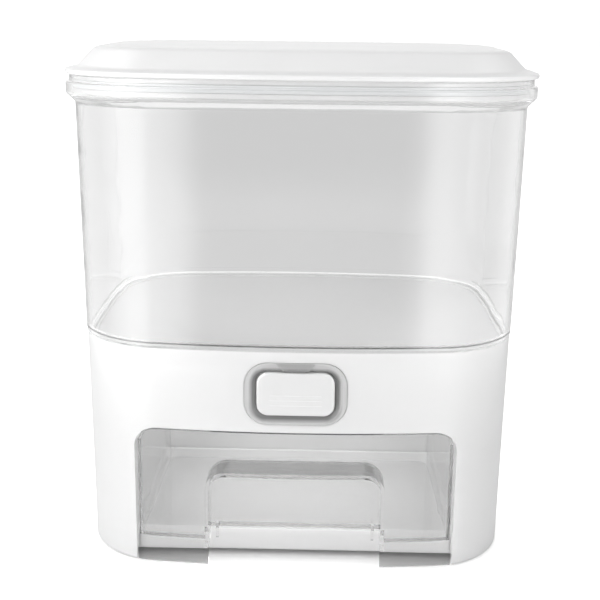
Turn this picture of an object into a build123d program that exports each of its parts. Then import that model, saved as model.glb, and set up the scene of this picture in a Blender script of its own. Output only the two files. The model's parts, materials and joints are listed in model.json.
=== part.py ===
"""Countertop rice dispenser: clear hopper, push-button gate and a clear drawer below.

Millimetres. +Z is up, the front (button and drawer) faces -Y, +X is to the right.
The origin is on the table, under the middle of the body.

Every level of the body is the same plan outline, grown or shrunk by an offset: eight arcs
that meet tangentially. A wall is therefore a section drawn in (offset, z) and turned about
each of the eight arc centres.
"""
import os
from math import atan2, cos, degrees, hypot, radians, sin, sqrt

from build123d import *

# ---------------------------------------------------------------- driving dimensions
# body outline at the joint between base and hopper
BODY_W = 280.0
BODY_D = 218.0
CORNER_R = 56.5
FRONT_R = 790.0        # front and back faces are shallow arcs
SIDE_R = 680.0         # so are the side faces

WALL = 2.4             # white mouldings
CLEAR_WALL = 2.9       # hopper
GAP = 0.3              # clearance between pieces that fit or slide
SLIDE_GAP = 0.4        # clearance round the shutter

# heights
FOOT_H = 3.4
SKIRT_Z = 0.8          # bottom edge of the base housing
JOINT_Z = 145.0        # top of the base, where the hopper stands
HOPPER_TOP_Z = 290.5   # top of the plain hopper wall
COLLAR_Z = 296.2       # lower outer edge of the collar
COLLAR_TOP_Z = 303.4   # upper outer edge of the collar, where it steps in to the lip
RIM_Z = 307.5          # top of the lip
LID_TOP_Z = 327.0

# offsets of the outline at those heights
BASE_TAPER = 1.8       # the base is narrower by this at the table
HOPPER_PROUD = 0.5     # the clear wall stands proud of the base
HOPPER_FLARE = 2.8     # offset at the top of the plain wall
COLLAR_OUT = 8.4
LIP_STEP = 2.2         # the lip stands in from the collar
LIP_T = 1.8
LID_OUT = 8.8

# hopper seat inside the base
SEAT_T = 3.2           # ledge in the base housing
SEAT_REACH = 5.4
SEAT_EAR_T = 4.4       # ears of the ledge that the funnel screws pass through
FUNNEL_BOSS_R = 3.4
FUNNEL_BOSS_H = 4.0
FUNNEL_FLANGE_T = 2.4
SEAL_T = 1.4
SPIGOT_T = 1.4
SPIGOT_H = 5.5
FLOOR_EDGE_DROP = 0.5  # funnel edge below the joint

# lid
LID_T = 2.2
LID_FLANGE_T = 3.0
LID_RING_T = 2.2
LID_RING_DROP = 11.0   # depth of the lid ring below the flange
GASKET_H = 5.0
GASKET_OUT = 0.8
LID_LANDING = 35.0     # inset of the flat top from the flange edge
LID_STEP = 10.5        # inset of the foot of the dome
LID_SHOULDER = 23.0    # inset of the shoulder, where the side turns into the top
LID_CROWN = 1.8        # fall from the flat top to the shoulder

# button and bezel
BUTTON_Z = 118.2
BUTTON_W = 48.1
BUTTON_H = 27.6
BUTTON_R = 7.0
BUTTON_PROUD = 1.0
BUTTON_DEPTH = 7.4
BUTTON_FLANGE = 2.0    # retaining flange at the back of the cap
BUTTON_RIB_W = 32.0
BUTTON_TRAVEL = 12.0
BEZEL_W = 63.2
BEZEL_H = 40.0
BEZEL_R = 14.5
BEZEL_T = 1.4
BEZEL_BEVEL = 5.0
SLEEVE_T = 2.6
SLEEVE_DEPTH = 5.6

# drawer and its mouth
MOUTH_W = 203.0
MOUTH_TOP_Z = 93.0
MOUTH_R = 14.0
MOUTH_GAP = 1.0
FRAME_T = 2.8
FRAME_BACK_Y = -88.0
BAY_T = 2.2            # walls round the drawer bay behind the mouth
BAY_LOW_Z = 9.0
BAY_TOP_Z = 90.0
BAY_RIB_T = 1.8        # ribs between the bay and the outer wall
BAY_RIB_YS = (-18.0, 24.0)
BAY_RIB_X = 52.0
DRAWER_WALL = 2.3
DRAWER_BACK_Y = 30.4
DRAWER_RIM_Z = 84.0
DRAWER_FLOOR_T = 2.4
DRAWER_DRAFT = 2.0     # each side wall leans in by this towards the back
DRAWER_BOTTOM_Z = 1.2
POCKET_W = 109.5
POCKET_TOP_Z = 62.0
POCKET_R = 11.0
POCKET_DEPTH = 24.0
POCKET_FOOT_Z = 12.0   # the pocket's cheeks reach below the drawer floor
DRAWER_TRAVEL = 145.0

# bottom plate
PAN_T = 2.4
DECK_Z = 18.0
DECK_T = 2.4
DECK_FRONT_Y = -87.0
DECK_BACK_Y = 40.0
RAIL_T = 2.2
RAIL_H = 8.0
STOP_T = 2.4           # ridge that stops the drawer
DECK_RIB_T = 1.8
DECK_CELLS_X = 7       # cells between the ribs under the deck
DECK_CELLS_Y = 5
DETENT_X = 71.0        # bumps that the drawer clicks over
DETENT_Y = -79.0
TAB_X = 50.5           # tabs under the pocket that hook over the deck's front edge
TAB_W = 1.8
TAB_LOW_Z = 12.0

# gate under the funnel
OUTLET_Y = -30.0
OUTLET_W = 60.0
OUTLET_D = 12.0
OUTLET_R = 3.0
FUNNEL_T = 2.3
NECK_Z = 104.0         # where the slopes end and the neck begins
GATE_Z = 93.0          # underside of the gate guide
GATE_T = 2.4
SHUTTER_T = 2.4
SHUTTER_W = 82.0
GATE_RAIL_T = 6.5
GATE_FRONT_Y = -68.0
SHUTTER_COVER = 7.0    # shutter behind the outlet
SHUTTER_LAP = 0.5      # closed window ahead of the outlet

# push frame and springs
PUSH_T = 2.4
PUSH_TOP_Z = 131.0
PUSH_W = 48.0
SPRING_X = 46.0
SPRING_Z = 107.0
SPRING_R = 3.75
WIRE_R = 0.5
SPRING_TURNS = 5
SPRING_POST_R = 2.4
SPRING_POST_L = 5.0

# fasteners and feet
SCREW_R = 1.5
SCREW_HEAD_R = 3.0
SCREW_HEAD_T = 1.8
PILOT_GAP = 0.05       # round a screw's shank in the hole that it is driven into
HOLE_GAP = 0.2         # round a screw's shank in the piece that it holds
BOSS_R = 4.5
BOSS_TOP_Z = 34.0
PLATE_SCREW_YS = (-40.0, 44.0)    # along each side
PLATE_SCREW_X = 62.0              # along the back
FUNNEL_SCREW_Y = 34.0
FUNNEL_SCREW_INSET = 5.4
FOOT_R = 8.0
FOOT_X = 112.0
FOOT_Y = 66.0

# ---------------------------------------------------------------- derived sizes
HALF_W = BODY_W / 2
HALF_D = BODY_D / 2
SEAL_TOP_Z = JOINT_Z - SPIGOT_H
FLANGE_TOP_Z = SEAL_TOP_Z - SEAL_T
SEAT_Z = FLANGE_TOP_Z - FUNNEL_FLANGE_T
SPIGOT_OUT = -WALL - GAP
FLOOR_OUT = SPIGOT_OUT - SPIGOT_T - GAP
FLOOR_Z = JOINT_Z - FLOOR_EDGE_DROP
LIP_OUT = COLLAR_OUT - LIP_STEP
COLLAR_IN = LIP_OUT - LIP_T
LID_RING_OUT = COLLAR_IN - GAP
LID_Z = RIM_Z + GAP
PAN_Z = FOOT_H
SHUTTER_Z = GATE_Z + GATE_T + SLIDE_GAP
FUNNEL_FOOT_Z = SHUTTER_Z + SHUTTER_T + SLIDE_GAP
GATE_HALF_W = SHUTTER_W / 2 + 0.5 + GATE_RAIL_T
OUTLET_FRONT_Y = OUTLET_Y - OUTLET_D / 2
OUTLET_BACK_Y = OUTLET_Y + OUTLET_D / 2
SHUTTER_BACK_Y = OUTLET_BACK_Y + SHUTTER_COVER
GATE_BACK_Y = SHUTTER_BACK_Y + BUTTON_TRAVEL + 2
DRAWER_Z = DECK_Z + GAP
DRAWER_HALF_W = MOUTH_W / 2 - MOUTH_GAP
TRAY_HALF_W = DRAWER_HALF_W - 1.0
RAIL_X = DRAWER_HALF_W + GAP + 0.1
DECK_HALF_W = RAIL_X + RAIL_T + 0.3
BOSS_INSET = BOSS_R - 0.6


def base_offset(z):
    """Offset of the base housing's outer face at height z."""
    return -BASE_TAPER * (JOINT_Z - z) / (JOINT_Z - SKIRT_Z)


BUTTON_FACE_Y = -HALF_D - base_offset(BUTTON_Z)
CAP_BACK_Y = BUTTON_FACE_Y - BUTTON_PROUD + BUTTON_DEPTH
CAP_FLANGE_T = 1.6
PUSH_Y = CAP_BACK_Y + CAP_FLANGE_T
SHUTTER_FRONT_Y = PUSH_Y
FOOT_BACK_Y = GATE_FRONT_Y - 6.0


# ---------------------------------------------------------------- the plan outline
def outline_arcs():
    """(centre x, centre y, radius, first angle, last angle) of the eight arcs, in degrees."""
    front = (0.0, FRONT_R - HALF_D)
    side = (HALF_W - SIDE_R, 0.0)
    dx, dy = side[0] - front[0], side[1] - front[1]
    apart = hypot(dx, dy)
    to_front, to_side = FRONT_R - CORNER_R, SIDE_R - CORNER_R
    along = (apart**2 + to_front**2 - to_side**2) / (2 * apart)
    across = sqrt(to_front**2 - along**2)
    cx = front[0] + dx / apart * along - dy / apart * across
    cy = front[1] + dy / apart * along + dx / apart * across
    if cx < 0:
        cx += 2 * dy / apart * across
        cy -= 2 * dx / apart * across
    a_front = degrees(atan2(cy - front[1], cx - front[0]))
    a_side = degrees(atan2(cy - side[1], cx - side[0]))
    return [
        (side[0], 0.0, SIDE_R, a_side, -a_side),
        (cx, -cy, CORNER_R, -a_side, -a_front),
        (0.0, -front[1], FRONT_R, -a_front, 180 + a_front),
        (-cx, -cy, CORNER_R, 180 + a_front, 180 + a_side),
        (-side[0], 0.0, SIDE_R, 180 + a_side, 180 - a_side),
        (-cx, cy, CORNER_R, 180 - a_side, 180 - a_front),
        (front[0], front[1], FRONT_R, 180 - a_front, 360 + a_front),
        (cx, cy, CORNER_R, a_front, a_side),
    ]


ARCS = outline_arcs()


def outline(offset, z):
    """The outline, grown by offset, as a face at height z."""
    edges = []
    for cx, cy, r, first, last in ARCS:
        points = []
        for angle in (first, (first + last) / 2, last):
            t = radians(angle)
            points.append((cx + (r + offset) * cos(t), cy + (r + offset) * sin(t), z))
        edges.append(ThreePointArc(*points))
    return make_face(edges)


def around(section):
    """Solid of a section in (offset, z), carried round the outline."""
    pieces = []
    for cx, cy, r, first, last in ARCS:
        t = radians(first)
        plane = Plane(origin=(cx, cy, 0), x_dir=(cos(t), sin(t), 0), z_dir=(sin(t), -cos(t), 0))
        face = plane * (Pos(r, 0) * section)
        pieces.append(revolve(face, Axis((cx, cy, 0), (0, 0, 1)), revolution_arc=last - first))
    return pieces[0].fuse(*pieces[1:]).clean()


def polygon(*points):
    """Closed polygon; a third number in a point rounds that corner."""
    face = make_face(Polyline(*[p[:2] for p in points], close=True))
    for point in points:
        if len(point) > 2:
            corner = face.vertices().sort_by_distance((point[0], point[1], 0))[0]
            face = fillet(corner, point[2])
    return face


def band(outer, inner, low, high):
    """Plain ring between two offsets and two heights."""
    return around(polygon((inner, low), (outer, low), (outer, high), (inner, high)))


# ---------------------------------------------------------------- small helpers
def block(x0, x1, y0, y1, z0, z1):
    """Box from its limits."""
    centre = ((x0 + x1) / 2, (y0 + y1) / 2, (z0 + z1) / 2)
    return Pos(*centre) * Box(x1 - x0, y1 - y0, z1 - z0)


def rod(x, y, z0, z1, radius):
    """Vertical cylinder."""
    return Pos(x, y, (z0 + z1) / 2) * Cylinder(radius, z1 - z0)


def facing(sketch, y0, y1, x=0.0, z=0.0):
    """Sketch drawn as seen from the front, extruded from y1 forward to y0."""
    plane = Plane(origin=(x, y1, z), x_dir=(1, 0, 0), z_dir=(0, -1, 0))
    return extrude(plane * sketch, y1 - y0)


def arch(width, low, high, radius, y0, y1):
    """Upright door shape with rounded upper corners."""
    half = width / 2
    shape = polygon((-half, low), (half, low), (half, high, radius), (-half, high, radius))
    return facing(shape, y0, y1)


def rounded(width, height, radius, y0, y1, z):
    """Rounded rectangle facing the front."""
    return facing(RectangleRounded(width, height, radius), y0, y1, 0, z)


def spaced(low, high, cells):
    """Places of the ribs that divide a length into equal cells."""
    return [low + (high - low) * k / cells for k in range(1, cells)]


def both_sides(solid):
    """The solid and its mirror image in X."""
    return [solid, mirror(solid, Plane.YZ)]


def screws(places, head_z, length, radius=SCREW_R, head=SCREW_HEAD_R):
    """Pan-head screws driven upwards; head_z is where the head seats."""
    made = []
    for x, y in places:
        body = rod(x, y, head_z - SCREW_HEAD_T, head_z, head)
        body = chamfer(body.edges().sort_by(Axis.Z)[0], SCREW_HEAD_T * 0.35)
        made.append(body + rod(x, y, head_z, head_z + length, radius))
    return made


def base_skin(outer, inner, low, high):
    """Ring that follows the taper of the base's outer face."""
    a, b = base_offset(low), base_offset(high)
    return around(polygon((inner + a, low), (outer + a, low), (outer + b, high), (inner + b, high)))


# ---------------------------------------------------------------- places of the fasteners
def face_fall(radius, across):
    """How far a shallow curved face falls back at that distance from its middle."""
    return radius - sqrt(radius**2 - across**2)


def plate_screw_places():
    """Bosses stand against the inner face of the base wall."""
    inset = BASE_TAPER + WALL + BOSS_INSET
    places = []
    for side in (-1, 1):
        for y in PLATE_SCREW_YS:
            places.append((side * (HALF_W - face_fall(SIDE_R, y) - inset), y))
        places.append((side * PLATE_SCREW_X, HALF_D - face_fall(FRONT_R, PLATE_SCREW_X) - inset))
    return places


GATE_SCREW_X = GATE_HALF_W - GATE_RAIL_T / 2
GATE_SCREWS = [(x, y) for x in (-GATE_SCREW_X, GATE_SCREW_X)
               for y in (GATE_FRONT_Y + 14, GATE_BACK_Y - 5)]
SHUTTER_SCREWS = [(x, SHUTTER_FRONT_Y + 14) for x in (-18, 18)]
FUNNEL_SCREW_X = HALF_W - face_fall(SIDE_R, FUNNEL_SCREW_Y) - WALL - FUNNEL_SCREW_INSET
FUNNEL_SCREWS = [(x, y) for x in (-FUNNEL_SCREW_X, FUNNEL_SCREW_X)
                 for y in (-FUNNEL_SCREW_Y, FUNNEL_SCREW_Y)]


# ---------------------------------------------------------------- base body
def make_base_housing():
    """White lower body: tapered wall, hopper seat, drawer mouth, button hole, bosses."""
    low = -BASE_TAPER
    wall = around(polygon(
        (low, SKIRT_Z, 1.2), (0, JOINT_Z, 0.8), (-WALL, JOINT_Z, 0.6), (low - WALL, SKIRT_Z, 0.6),
    ))
    reach = -WALL - SEAT_REACH
    seat = around(polygon(
        (-WALL * 0.5, SEAT_Z), (reach, SEAT_Z), (reach, SEAT_Z - SEAT_T * 0.6),
        (-WALL * 0.5, SEAT_Z - SEAT_T - SEAT_REACH * 0.7),
    ))
    sleeve_w = BUTTON_W + 2 * (0.65 + SLEEVE_T)
    seat -= block(-sleeve_w / 2 - 5, sleeve_w / 2 + 5, -HALF_D - 5, -HALF_D / 2, 100, SEAT_Z + 1)
    for x, y in FUNNEL_SCREWS:
        seat += rod(x, y, SEAT_Z - SEAT_EAR_T, SEAT_Z, FUNNEL_BOSS_R)
    frame = arch(MOUTH_W + 2 * FRAME_T, SKIRT_Z + PAN_T + 3, MOUTH_TOP_Z + FRAME_T,
                 MOUTH_R + FRAME_T, -HALF_D - 5, FRAME_BACK_Y) & make_base_interior()
    body = wall + seat + frame + make_drawer_bay()
    body -= arch(MOUTH_W, -5, MOUTH_TOP_Z, MOUTH_R, -HALF_D - 10, FRAME_BACK_Y + 5)
    body -= rounded(BEZEL_W + 2 * GAP, BEZEL_H + 2 * GAP, BEZEL_R + GAP,
                    -HALF_D - 5, -HALF_D + 5, BUTTON_Z) & base_skin(5, -BEZEL_T - 0.1, 60, JOINT_Z)
    body -= rounded(sleeve_w + 2 * GAP, BUTTON_H + 2 * (0.65 + SLEEVE_T + GAP),
                    BUTTON_R + 0.65 + SLEEVE_T + GAP, -HALF_D - 5, -HALF_D + 12, BUTTON_Z)
    for x, y in plate_screw_places():
        body += rod(x, y, PAN_Z + PAN_T, BOSS_TOP_Z, BOSS_R)
    for x, y in plate_screw_places():
        body -= rod(x, y, 0, BOSS_TOP_Z - 4, SCREW_R + PILOT_GAP)
    for x, y in FUNNEL_SCREWS:
        body -= rod(x, y, SEAT_Z - SEAT_T - 8, SEAT_Z + 1, SCREW_R + HOLE_GAP)
    return body


def make_drawer_bay():
    """Walls beside and behind the drawer, tied to the outer wall by ribs."""
    x0 = DECK_HALF_W + GAP
    x1 = x0 + BAY_T
    y1 = DECK_BACK_Y + GAP + BAY_T
    side = block(x0, x1, FRAME_BACK_Y - 4, y1, BAY_LOW_Z, BAY_TOP_Z)
    for y in BAY_RIB_YS:
        side += block(x1 - 0.5, HALF_W, y - BAY_RIB_T / 2, y + BAY_RIB_T / 2, BAY_LOW_Z, BAY_TOP_Z - 8)
    side += block(BAY_RIB_X - BAY_RIB_T / 2, BAY_RIB_X + BAY_RIB_T / 2, y1 - 0.5, HALF_D,
                  BAY_LOW_Z, BAY_TOP_Z - 8)
    bay = block(-x1, x1, y1 - BAY_T, y1, BAY_LOW_Z, BAY_TOP_Z)
    for piece in both_sides(side):
        bay += piece
    return bay & make_base_interior()


def make_base_interior():
    """Everything inside the inner face of the base wall."""
    low = -BASE_TAPER - WALL * 0.5
    return loft([outline(low, SKIRT_Z - 2), outline(-WALL * 0.5, JOINT_Z)], ruled=True)


def make_bottom_plate():
    """White pan screwed under the base, with a raised ribbed deck that carries the drawer."""
    pan = extrude(outline(-BASE_TAPER - WALL - GAP - 0.1, PAN_Z), PAN_T)
    deck_half = DECK_HALF_W
    pan -= block(-MOUTH_W / 2 - FRAME_T - GAP, MOUTH_W / 2 + FRAME_T + GAP, -HALF_D - 5,
                 DECK_FRONT_Y, 0, JOINT_Z)
    deck = block(-deck_half, deck_half, DECK_FRONT_Y, DECK_BACK_Y, PAN_Z, DECK_Z)
    deck = fillet(deck.edges().filter_by(Axis.Z), 4)
    hollow = block(-deck_half + DECK_T, deck_half - DECK_T, DECK_FRONT_Y + DECK_T,
                   DECK_BACK_Y - DECK_T, PAN_Z - 1, DECK_Z - DECK_T)
    plate = pan + deck - hollow
    for x in spaced(-deck_half, deck_half, DECK_CELLS_X):
        plate += block(x - DECK_RIB_T / 2, x + DECK_RIB_T / 2, DECK_FRONT_Y + 1, DECK_BACK_Y - 1,
                       PAN_Z, DECK_Z - 1)
    for y in spaced(DECK_FRONT_Y, DECK_BACK_Y, DECK_CELLS_Y):
        plate += block(-deck_half + 1, deck_half - 1, y - DECK_RIB_T / 2, y + DECK_RIB_T / 2,
                       PAN_Z, DECK_Z - 1)
    for rail in both_sides(block(RAIL_X, deck_half, DECK_FRONT_Y + 22, DECK_BACK_Y - 4,
                                 DECK_Z - 1, DECK_Z + RAIL_H)):
        plate += rail
    stop_y = DRAWER_BACK_Y + GAP
    plate += block(-RAIL_X, RAIL_X, stop_y, stop_y + STOP_T, DECK_Z - 1, DECK_Z + RAIL_H)
    for x, y in plate_screw_places():
        plate -= rod(x, y, 0, PAN_Z + PAN_T + 1, SCREW_R + HOLE_GAP)
    for x in (-DETENT_X, DETENT_X):
        plate += rod(x, DETENT_Y, DECK_Z - 1, DECK_Z + GAP * 0.5, 2.2)
    return plate


def make_feet():
    """Four soft pads with a rounded lower edge."""
    feet = []
    for x, y in ((-FOOT_X, -FOOT_Y), (FOOT_X, -FOOT_Y), (-FOOT_X, FOOT_Y), (FOOT_X, FOOT_Y)):
        foot = rod(x, y, 0, FOOT_H, FOOT_R)
        feet.append(chamfer(foot.edges().sort_by(Axis.Z)[0], 0.8))
    return feet


def make_hopper():
    """Clear tank: spigot, flared wall and a stepped-out collar."""
    return around(polygon(
        (SPIGOT_OUT, SEAL_TOP_Z), (SPIGOT_OUT, JOINT_Z + 0.1), (HOPPER_PROUD - 0.6, JOINT_Z + 0.1, 0.2),
        (HOPPER_PROUD, JOINT_Z + 1.3, 1.0), (HOPPER_FLARE, HOPPER_TOP_Z, 2.0),
        (COLLAR_OUT, COLLAR_Z, 1.5), (COLLAR_OUT, COLLAR_TOP_Z, 1.2), (LIP_OUT, COLLAR_TOP_Z, 0.5),
        (LIP_OUT, RIM_Z, 0.5), (COLLAR_IN, RIM_Z, 0.5),
        (COLLAR_IN, COLLAR_Z - 0.6, 1.5), (HOPPER_FLARE - CLEAR_WALL, HOPPER_TOP_Z - 0.4, 2.0),
        (HOPPER_PROUD - CLEAR_WALL, JOINT_Z + 4.5, 1.5), (SPIGOT_OUT - SPIGOT_T, JOINT_Z + 2.0, 0.5),
        (SPIGOT_OUT - SPIGOT_T, SEAL_TOP_Z),
    ))


def make_hopper_seal():
    """Flat silicone ring that the hopper's spigot presses on."""
    return band(SPIGOT_OUT, SPIGOT_OUT - SPIGOT_T, FLANGE_TOP_Z, SEAL_TOP_Z)


def slot(width, depth, radius, z):
    """Rounded slot with eight edges at the outlet, as a face."""
    return Pos(0, OUTLET_Y, z) * RectangleRounded(width, depth, radius)


def make_funnel():
    """White floor of the hopper: four slopes that lead to a slot over the gate."""
    rim = around(polygon(
        (SPIGOT_OUT, SEAT_Z), (SPIGOT_OUT, FLANGE_TOP_Z), (FLOOR_OUT, FLANGE_TOP_Z),
        (FLOOR_OUT, FLOOR_Z, 0.8), (FLOOR_OUT - 1.8, FLOOR_Z, 0.6), (FLOOR_OUT - 1.8, SEAT_Z),
    ))
    grown = 2 * FUNNEL_T
    outer = loft([slot(OUTLET_W + grown, OUTLET_D + grown, OUTLET_R + FUNNEL_T, NECK_Z - 2.4),
                  outline(FLOOR_OUT - 0.4, FLOOR_Z - 1.2)], ruled=True)
    inner = loft([slot(OUTLET_W, OUTLET_D, OUTLET_R, NECK_Z),
                  outline(FLOOR_OUT - 2.0, FLOOR_Z - 0.6)], ruled=True)
    neck = extrude(slot(OUTLET_W + grown, OUTLET_D + grown, OUTLET_R + FUNNEL_T, FUNNEL_FOOT_Z),
                   NECK_Z - FUNNEL_FOOT_Z)
    plate = block(-GATE_HALF_W, GATE_HALF_W, GATE_FRONT_Y + 8, GATE_BACK_Y,
                  FUNNEL_FOOT_Z, FUNNEL_FOOT_Z + GATE_T)
    body = rim + outer + neck + plate
    for x, y in FUNNEL_SCREWS:
        body += rod(x, y, SEAT_Z, SEAT_Z + FUNNEL_BOSS_H, FUNNEL_BOSS_R - 0.2)
    for x, y in GATE_SCREWS:
        body += rod(x, y, FUNNEL_FOOT_Z, FUNNEL_FOOT_Z + 7, 3.2)
    body -= inner
    body -= extrude(slot(OUTLET_W, OUTLET_D, OUTLET_R, FUNNEL_FOOT_Z - 1), NECK_Z - FUNNEL_FOOT_Z + 2)
    for x, y in GATE_SCREWS:
        body -= rod(x, y, FUNNEL_FOOT_Z - 1, FUNNEL_FOOT_Z + 6, SCREW_R + PILOT_GAP)
    for x, y in FUNNEL_SCREWS:
        body -= rod(x, y, SEAT_Z - 1, SEAT_Z + FUNNEL_BOSS_H - 1, SCREW_R + PILOT_GAP)
    return body


def make_gate_guide():
    """Channel under the funnel for the shutter, with the drop slot and the spring posts."""
    half = SHUTTER_W / 2 + 0.5
    guide = block(-GATE_HALF_W, GATE_HALF_W, GATE_FRONT_Y, GATE_BACK_Y, GATE_Z, GATE_Z + GATE_T)
    for rail in both_sides(block(half, GATE_HALF_W, GATE_FRONT_Y, GATE_BACK_Y, GATE_Z, FUNNEL_FOOT_Z)):
        guide += rail
    seat = block(half + 0.4, SPRING_X + SPRING_R + WIRE_R + 1, GATE_FRONT_Y, GATE_FRONT_Y + 3,
                 GATE_Z, SPRING_Z + SPRING_R + WIRE_R + 1.5)
    seat = fillet(seat.edges().filter_by(Axis.Y).group_by(Axis.Z)[-1], 3)
    post = facing(Pos(0, 0) * Circle(SPRING_POST_R), GATE_FRONT_Y - SPRING_POST_L, GATE_FRONT_Y + 1,
                  SPRING_X, SPRING_Z)
    for piece in both_sides(seat + post):
        guide += piece
    guide -= extrude(slot(OUTLET_W, OUTLET_D, OUTLET_R, GATE_Z - 1), GATE_T + 2)
    for x, y in GATE_SCREWS:
        guide -= rod(x, y, GATE_Z - 1, FUNNEL_FOOT_Z + 1, SCREW_R + HOLE_GAP)
    return guide


def make_button_bezel():
    """Grey ring with an inward bevel; its sleeve guides the cap and snaps behind the wall."""
    ring = rounded(BEZEL_W, BEZEL_H, BEZEL_R, -HALF_D - 5, -HALF_D + 5, BUTTON_Z)
    ring = ring & base_skin(0.15, -BEZEL_T, 80, JOINT_Z - 2)
    bore_w, bore_h, bore_r = BUTTON_W + 1.3, BUTTON_H + 1.3, BUTTON_R + 0.65
    sleeve = rounded(bore_w + 2 * SLEEVE_T, bore_h + 2 * SLEEVE_T, bore_r + SLEEVE_T,
                     BUTTON_FACE_Y + 0.9, BUTTON_FACE_Y + SLEEVE_DEPTH, BUTTON_Z)
    hook = block(bore_w / 2 + SLEEVE_T - 0.5, bore_w / 2 + SLEEVE_T + 1.4,
                 BUTTON_FACE_Y + WALL + 0.9, BUTTON_FACE_Y + WALL + 2.4, BUTTON_Z - 6, BUTTON_Z + 6)
    bezel = ring + sleeve
    for piece in both_sides(hook):
        bezel += piece
    bezel -= rounded(bore_w, bore_h, bore_r, -HALF_D - 5, -HALF_D + 20, BUTTON_Z)
    bevel = loft([
        facing_face(bore_w + 2 * BEZEL_BEVEL, bore_h + 2 * BEZEL_BEVEL, bore_r + BEZEL_BEVEL,
                    BUTTON_FACE_Y - 0.3),
        facing_face(bore_w + 0.8, bore_h + 0.8, bore_r + 0.4, BUTTON_FACE_Y + 2.0),
    ], ruled=True)
    return bezel - bevel


def facing_face(width, height, radius, y):
    """Rounded rectangle on an upright plane at y, round the button's centre."""
    plane = Plane(origin=(0, y, BUTTON_Z), x_dir=(1, 0, 0), z_dir=(0, -1, 0))
    return plane * RectangleRounded(width, height, radius)


# ---------------------------------------------------------------- button body
def make_button_cap():
    """White hollow cap with three fine ribs in its lower half."""
    front = BUTTON_FACE_Y - BUTTON_PROUD
    cap = rounded(BUTTON_W, BUTTON_H, BUTTON_R, front, CAP_BACK_Y, BUTTON_Z)
    cap = fillet(cap.faces().sort_by(Axis.Y)[0].edges(), 1.4)
    flange = rounded(BUTTON_W + 2 * BUTTON_FLANGE, BUTTON_H + 2 * BUTTON_FLANGE,
                     BUTTON_R + BUTTON_FLANGE, CAP_BACK_Y, CAP_BACK_Y + CAP_FLANGE_T, BUTTON_Z)
    # no flange above the cap, where the funnel slopes down
    cap += flange & block(-HALF_W, HALF_W, -HALF_D, 0, 0, BUTTON_Z + BUTTON_H / 2)
    cap -= rounded(BUTTON_W - 4.4, BUTTON_H - 4.4, BUTTON_R - 2.2, front + 2.2,
                   CAP_BACK_Y + 5, BUTTON_Z)
    for z in (BUTTON_Z - 1.1, BUTTON_Z - 4.3, BUTTON_Z - 7.5):
        cap += rounded(BUTTON_RIB_W, 0.9, 0.4, front - 0.35, front + 0.5, z)
    return cap


def make_push_frame():
    """Yoke behind the cap: plug, spring wings with posts, and a foot over the shutter."""
    back = PUSH_Y + PUSH_T
    frame = rounded(PUSH_W, PUSH_TOP_Z - SHUTTER_Z - SHUTTER_T, 5, PUSH_Y, back,
                    (PUSH_TOP_Z + SHUTTER_Z + SHUTTER_T) / 2)
    wing_w = 2 * (SPRING_X + SPRING_R + WIRE_R + 1.2)
    frame += rounded(wing_w, 14, 5, PUSH_Y, back, SPRING_Z)
    plug_w, plug_h, plug_r = BUTTON_W - 5, BUTTON_H - 5, BUTTON_R - 2.5
    frame += (rounded(plug_w, plug_h, plug_r, BUTTON_FACE_Y + 2.2, back, BUTTON_Z)
              - rounded(plug_w - 4, plug_h - 4, plug_r - 2, -HALF_D - 5, PUSH_Y, BUTTON_Z))
    foot_z = SHUTTER_Z + SHUTTER_T
    frame += block(-28, 28, PUSH_Y, FOOT_BACK_Y, foot_z, foot_z + PUSH_T)
    depth = FOOT_BACK_Y - back - 2
    for x in (-22, 0, 22):
        web = polygon((0, 0), (depth, 0), (0, PUSH_TOP_Z - 10 - foot_z))
        plane = Plane(origin=(x + 1, back - 0.2, foot_z + 1), x_dir=(0, 1, 0), z_dir=(1, 0, 0))
        frame += extrude(plane * web, -2)
    post = facing(Circle(SPRING_POST_R), back - 0.5, back + SPRING_POST_L, SPRING_X, SPRING_Z)
    for piece in both_sides(post):
        frame += piece
    for x, y in SHUTTER_SCREWS:
        frame -= rod(x, y, foot_z - 1, foot_z + PUSH_T + 1, SCREW_R + HOLE_GAP)
    return frame


def make_shutter_plate():
    """Sliding plate whose window comes under the outlet when the button is pressed."""
    plate = block(-SHUTTER_W / 2, SHUTTER_W / 2, SHUTTER_FRONT_Y, SHUTTER_BACK_Y,
                  SHUTTER_Z, SHUTTER_Z + SHUTTER_T)
    plate = fillet(plate.edges().filter_by(Axis.Z), 3)
    depth = 2 * (BUTTON_TRAVEL - SHUTTER_LAP) - OUTLET_D
    window = extrude(slot(OUTLET_W, depth, OUTLET_R, SHUTTER_Z - 1), SHUTTER_T + 2)
    plate -= Pos(0, -BUTTON_TRAVEL, 0) * window
    for x, y in SHUTTER_SCREWS:
        plate -= rod(x, y, SHUTTER_Z - 1, SHUTTER_Z + SHUTTER_T + 1, SCREW_R + PILOT_GAP)
    return plate


def make_spring(x):
    """Compression spring along Y between the push frame and the gate guide."""
    start = PUSH_Y + PUSH_T + WIRE_R + 0.05
    length = GATE_FRONT_Y - WIRE_R - 0.05 - start
    plane = Plane(origin=(x, start, SPRING_Z), x_dir=(1, 0, 0), z_dir=(0, 1, 0))
    coil = Helix(pitch=length / SPRING_TURNS, height=length, radius=SPRING_R)
    coil = plane * coil
    return sweep(Plane(coil @ 0, z_dir=coil % 0) * RegularPolygon(WIRE_R, 6), coil)


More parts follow.
